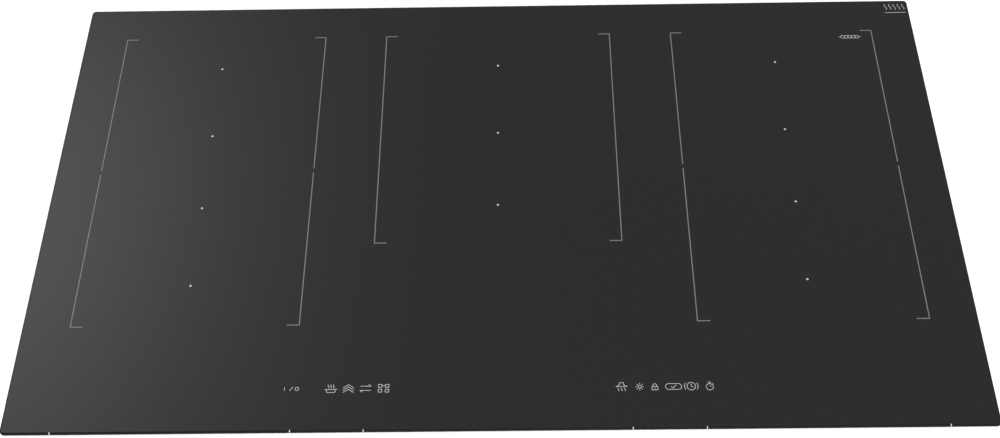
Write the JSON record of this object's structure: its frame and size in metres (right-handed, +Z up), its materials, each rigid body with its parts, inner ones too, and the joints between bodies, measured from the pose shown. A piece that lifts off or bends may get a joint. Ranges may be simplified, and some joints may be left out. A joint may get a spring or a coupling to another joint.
{
  "type": "induction cooktop",
  "caption": "Wide built-in induction hob: a black glass plate on a shallow steel casing, with oval coils, fans, touch controls, a terminal box and worktop clamps.",
  "frame": {"origin": "under the centre of the glass, on the plane that the casing's floor stands on", "axes": "+X to the user's right, along the long side of the glass; -Y towards the user; +Z up, out of the cooking surface"},
  "size_m": [0.904, 0.522, 0.057],
  "materials": {
    "glass": "polished black glass ceramic with a ground edge",
    "seal_foam": "closed-cell foam tape, matt",
    "mica": "pressed mica, satin",
    "tray_steel": "galvanised sheet steel, fine spangle",
    "filter_board": "glass-fibre circuit board with parts",
    "touch_board": "glass-fibre circuit board with key springs and displays",
    "power_board": "glass-fibre circuit board with capacitors and chokes",
    "white_plastic": "moulded, satin",
    "terminal_plastic": "moulded, fine texture",
    "cover_plastic": "moulded, fine texture",
    "terminal_block": "moulded with screw terminals",
    "clamp_bar": "moulded bar on two screws",
    "rail_steel": "galvanised angle, satin",
    "plate_aluminium": "mill finish",
    "sink_aluminium": "extruded, mill finish",
    "fan_plastic": "moulded, satin",
    "rotor_plastic": "moulded, satin",
    "coil_litz": "varnished copper litz wire",
    "former_plastic": "moulded heat-proof plastic",
    "screw_zinc": "zinc plated",
    "arm_zinc": "zinc plated sheet"
  },
  "bodies": {
    "casing": {"glass_top": "glass", "seal_gasket": "seal_foam", "insulation_sheet": "mica", "base_tray": "tray_steel", "filter_board": "filter_board", "touch_board": "touch_board", "touch_carrier": "white_plastic", "terminal_box": "terminal_plastic", "terminal_block": "terminal_block", "cord_clamp": "clamp_bar", "frame_rail_front": "rail_steel", "frame_rail_rear": "rail_steel", "frame_rail_left": "rail_steel", "frame_rail_right": "rail_steel", "coil_plate_left": "plate_aluminium", "power_board_left": "power_board", "heat_sink_left": "sink_aluminium", "fan_housing_left": "fan_plastic", "coil_plate_centre": "plate_aluminium", "power_board_centre": "power_board", "heat_sink_centre": "sink_aluminium", "fan_housing_centre": "fan_plastic", "coil_plate_right": "plate_aluminium", "power_board_right": "power_board", "heat_sink_right": "sink_aluminium", "fan_housing_right": "fan_plastic", "coil_left_1": "coil_litz", "coil_former_left_1": "former_plastic", "coil_left_2": "coil_litz", "coil_former_left_2": "former_plastic", "coil_left_3": "coil_litz", "coil_former_left_3": "former_plastic", "coil_left_4": "coil_litz", "coil_former_left_4": "former_plastic", "coil_centre_1": "coil_litz", "coil_former_centre_1": "former_plastic", "coil_centre_2": "coil_litz", "coil_former_centre_2": "former_plastic", "coil_centre_3": "coil_litz", "coil_former_centre_3": "former_plastic", "coil_right_1": "coil_litz", "coil_former_right_1": "former_plastic", "coil_right_2": "coil_litz", "coil_former_right_2": "former_plastic", "coil_right_3": "coil_litz", "coil_former_right_3": "former_plastic", "coil_right_4": "coil_litz", "coil_former_right_4": "former_plastic"},
    "rotor_left": {"fan_rotor_left": "rotor_plastic"},
    "rotor_centre": {"fan_rotor_centre": "rotor_plastic"},
    "rotor_right": {"fan_rotor_right": "rotor_plastic"},
    "terminal_lid": {"terminal_cover": "cover_plastic"},
    "screw_front_left": {"clamp_screw_front_left": "screw_zinc"},
    "arm_front_left": {"clamp_arm_front_left": "arm_zinc"},
    "screw_front_right": {"clamp_screw_front_right": "screw_zinc"},
    "arm_front_right": {"clamp_arm_front_right": "arm_zinc"},
    "screw_rear_left": {"clamp_screw_rear_left": "screw_zinc"},
    "arm_rear_left": {"clamp_arm_rear_left": "arm_zinc"},
    "screw_rear_right": {"clamp_screw_rear_right": "screw_zinc"},
    "arm_rear_right": {"clamp_arm_rear_right": "arm_zinc"}
  },
  "joints": [
    {"name": "fan_spin_left", "type": "hinge", "parent": "casing", "child": "rotor_left", "pos_m": [-0.2972, 0.13, 0.015], "axis": [0, 0, 1], "continuous": true},
    {"name": "fan_spin_centre", "type": "hinge", "parent": "casing", "child": "rotor_centre", "pos_m": [0, 0.13, 0.015], "axis": [0, 0, 1], "continuous": true},
    {"name": "fan_spin_right", "type": "hinge", "parent": "casing", "child": "rotor_right", "pos_m": [0.2972, 0.13, 0.015], "axis": [0, 0, 1], "continuous": true},
    {"name": "terminal_cover_hinge", "type": "hinge", "parent": "casing", "child": "terminal_lid", "pos_m": [0.125, 0.2315, 0.0025], "axis": [1, 0, 0], "range_deg": [0, 110]},
    {"name": "clamp_lift_front_left", "type": "slide", "parent": "casing", "child": "screw_front_left", "axis": [0, 0, 1], "range_m": [0, 0.009]},
    {"name": "clamp_swing_front_left", "type": "hinge", "parent": "screw_front_left", "child": "arm_front_left", "pos_m": [-0.417, -0.175, 0.0058], "axis": [0, 0, 1], "range_deg": [0, 90]},
    {"name": "clamp_lift_front_right", "type": "slide", "parent": "casing", "child": "screw_front_right", "axis": [0, 0, 1], "range_m": [0, 0.009]},
    {"name": "clamp_swing_front_right", "type": "hinge", "parent": "screw_front_right", "child": "arm_front_right", "pos_m": [0.417, -0.175, 0.0058], "axis": [0, 0, -1], "range_deg": [0, 90]},
    {"name": "clamp_lift_rear_left", "type": "slide", "parent": "casing", "child": "screw_rear_left", "axis": [0, 0, 1], "range_m": [0, 0.009]},
    {"name": "clamp_swing_rear_left", "type": "hinge", "parent": "screw_rear_left", "child": "arm_rear_left", "pos_m": [-0.417, 0.12, 0.0058], "axis": [0, 0, -1], "range_deg": [0, 90]},
    {"name": "clamp_lift_rear_right", "type": "slide", "parent": "casing", "child": "screw_rear_right", "axis": [0, 0, 1], "range_m": [0, 0.009]},
    {"name": "clamp_swing_rear_right", "type": "hinge", "parent": "screw_rear_right", "child": "arm_rear_right", "pos_m": [0.417, 0.12, 0.0058], "axis": [0, 0, 1], "range_deg": [0, 90]}
  ]
}
